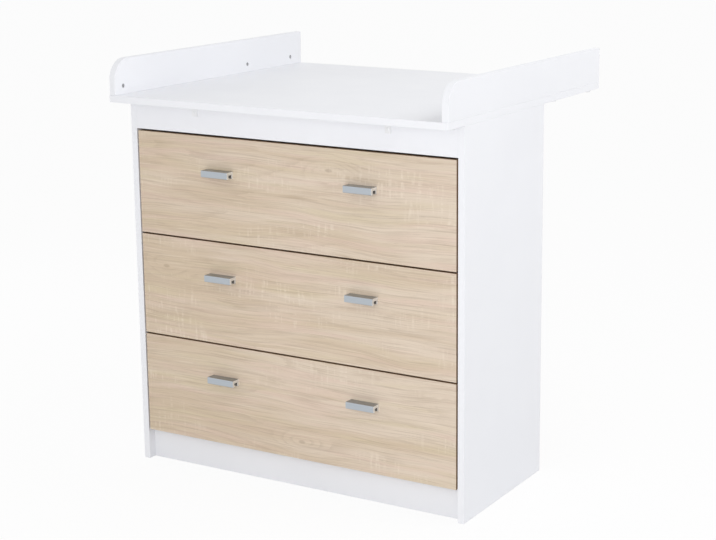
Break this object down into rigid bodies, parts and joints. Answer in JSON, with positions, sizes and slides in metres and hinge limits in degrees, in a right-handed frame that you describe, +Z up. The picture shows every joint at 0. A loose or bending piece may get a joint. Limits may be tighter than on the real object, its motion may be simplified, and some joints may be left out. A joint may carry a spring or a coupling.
{
  "type": "changing dresser",
  "caption": "White changing dresser with oak-decor drawers on roller runners, metal profile handles, a recessed plinth and a deep changing board with rounded end boards.",
  "frame": {"origin": "on the floor, under the middle of the changing board", "axes": "+X to the dresser's right, seen from the front; -Y towards the front; +Z up"},
  "size_m": [0.9, 0.78, 0.998],
  "materials": {
    "white_board": "white melamine-faced chipboard, fine satin texture",
    "oak_decor": "light rough-sawn oak decor paper, matt",
    "drawer_board": "white foil-wrapped chipboard, satin",
    "drawer_sheet": "white lacquered hardboard",
    "hardboard": "brown hardboard, mesh-pressed rear face",
    "satin_aluminium": "satin anodised extrusion",
    "white_steel": "white epoxy-coated steel",
    "roller_plastic": "natural nylon",
    "white_plastic": "extruded plastic strip",
    "zinc_fitting": "zinc-plated",
    "burnished_steel": "dark burnished steel"
  },
  "bodies": {
    "carcass": {"side_panel_left": "white_board", "side_panel_right": "white_board", "fascia_rail": "white_board", "rear_rail": "white_board", "plinth_board": "white_board", "floor_board": "white_board", "carcass_cams": "zinc_fitting", "back_sheet_left": "hardboard", "back_sheet_right": "hardboard", "back_strip": "white_plastic", "back_nails": "zinc_fitting", "changing_board": "white_board", "end_board_left": "white_board", "end_board_right": "white_board", "board_bolts": "zinc_fitting", "barrel_nuts": "burnished_steel", "angle_brackets": "white_steel", "panel_screws": "zinc_fitting", "lower_cabinet_runners": "white_steel", "middle_cabinet_runners": "white_steel", "upper_cabinet_runners": "white_steel"},
    "lower_drawer": {"lower_drawer_front": "oak_decor", "lower_drawer_side_right": "drawer_board", "lower_drawer_side_left": "drawer_board", "lower_drawer_back": "drawer_board", "lower_drawer_bottom": "drawer_sheet", "lower_drawer_cams": "zinc_fitting", "lower_drawer_runners": "white_steel", "lower_drawer_screws": "zinc_fitting", "lower_handle_right": "satin_aluminium", "lower_handle_left": "satin_aluminium", "lower_handle_screws": "zinc_fitting"},
    "lower_drawer_wheels": {"lower_drawer_rollers": "roller_plastic"},
    "lower_cabinet_wheels": {"lower_cabinet_rollers": "roller_plastic"},
    "middle_drawer": {"middle_drawer_front": "oak_decor", "middle_drawer_side_right": "drawer_board", "middle_drawer_side_left": "drawer_board", "middle_drawer_back": "drawer_board", "middle_drawer_bottom": "drawer_sheet", "middle_drawer_cams": "zinc_fitting", "middle_drawer_runners": "white_steel", "middle_drawer_screws": "zinc_fitting", "middle_handle_right": "satin_aluminium", "middle_handle_left": "satin_aluminium", "middle_handle_screws": "zinc_fitting"},
    "middle_drawer_wheels": {"middle_drawer_rollers": "roller_plastic"},
    "middle_cabinet_wheels": {"middle_cabinet_rollers": "roller_plastic"},
    "upper_drawer": {"upper_drawer_front": "oak_decor", "upper_drawer_side_right": "drawer_board", "upper_drawer_side_left": "drawer_board", "upper_drawer_back": "drawer_board", "upper_drawer_bottom": "drawer_sheet", "upper_drawer_cams": "zinc_fitting", "upper_drawer_runners": "white_steel", "upper_drawer_screws": "zinc_fitting", "upper_handle_right": "satin_aluminium", "upper_handle_left": "satin_aluminium", "upper_handle_screws": "zinc_fitting"},
    "upper_drawer_wheels": {"upper_drawer_rollers": "roller_plastic"},
    "upper_cabinet_wheels": {"upper_cabinet_rollers": "roller_plastic"}
  },
  "joints": [
    {"name": "lower_drawer_slide", "type": "slide", "parent": "carcass", "child": "lower_drawer", "axis": [0, -1, 0], "range_m": [0, 0.27]},
    {"name": "lower_cabinet_wheel_spin", "type": "hinge", "parent": "carcass", "child": "lower_cabinet_wheels", "pos_m": [0, -0.2845, 0.111], "axis": [1, 0, 0], "range_deg": [0, 1560]},
    {"name": "lower_drawer_wheel_spin", "type": "hinge", "parent": "lower_drawer", "child": "lower_drawer_wheels", "pos_m": [0, 0.0405, 0.109], "axis": [1, 0, 0], "range_deg": [0, 1560]},
    {"name": "middle_drawer_slide", "type": "slide", "parent": "carcass", "child": "middle_drawer", "axis": [0, -1, 0], "range_m": [0, 0.27]},
    {"name": "middle_cabinet_wheel_spin", "type": "hinge", "parent": "carcass", "child": "middle_cabinet_wheels", "pos_m": [0, -0.2845, 0.361], "axis": [1, 0, 0], "range_deg": [0, 1560]},
    {"name": "middle_drawer_wheel_spin", "type": "hinge", "parent": "middle_drawer", "child": "middle_drawer_wheels", "pos_m": [0, 0.0405, 0.359], "axis": [1, 0, 0], "range_deg": [0, 1560]},
    {"name": "upper_drawer_slide", "type": "slide", "parent": "carcass", "child": "upper_drawer", "axis": [0, -1, 0], "range_m": [0, 0.27]},
    {"name": "upper_cabinet_wheel_spin", "type": "hinge", "parent": "carcass", "child": "upper_cabinet_wheels", "pos_m": [0, -0.2845, 0.611], "axis": [1, 0, 0], "range_deg": [0, 1560]},
    {"name": "upper_drawer_wheel_spin", "type": "hinge", "parent": "upper_drawer", "child": "upper_drawer_wheels", "pos_m": [0, 0.0405, 0.609], "axis": [1, 0, 0], "range_deg": [0, 1560]}
  ],
  "couplings": [
    {"joint": "lower_cabinet_wheel_spin", "follows": "lower_drawer_slide", "rad_per_m": 100},
    {"joint": "lower_drawer_wheel_spin", "follows": "lower_drawer_slide", "rad_per_m": 100},
    {"joint": "middle_cabinet_wheel_spin", "follows": "middle_drawer_slide", "rad_per_m": 100},
    {"joint": "middle_drawer_wheel_spin", "follows": "middle_drawer_slide", "rad_per_m": 100},
    {"joint": "upper_cabinet_wheel_spin", "follows": "upper_drawer_slide", "rad_per_m": 100},
    {"joint": "upper_drawer_wheel_spin", "follows": "upper_drawer_slide", "rad_per_m": 100}
  ]
}
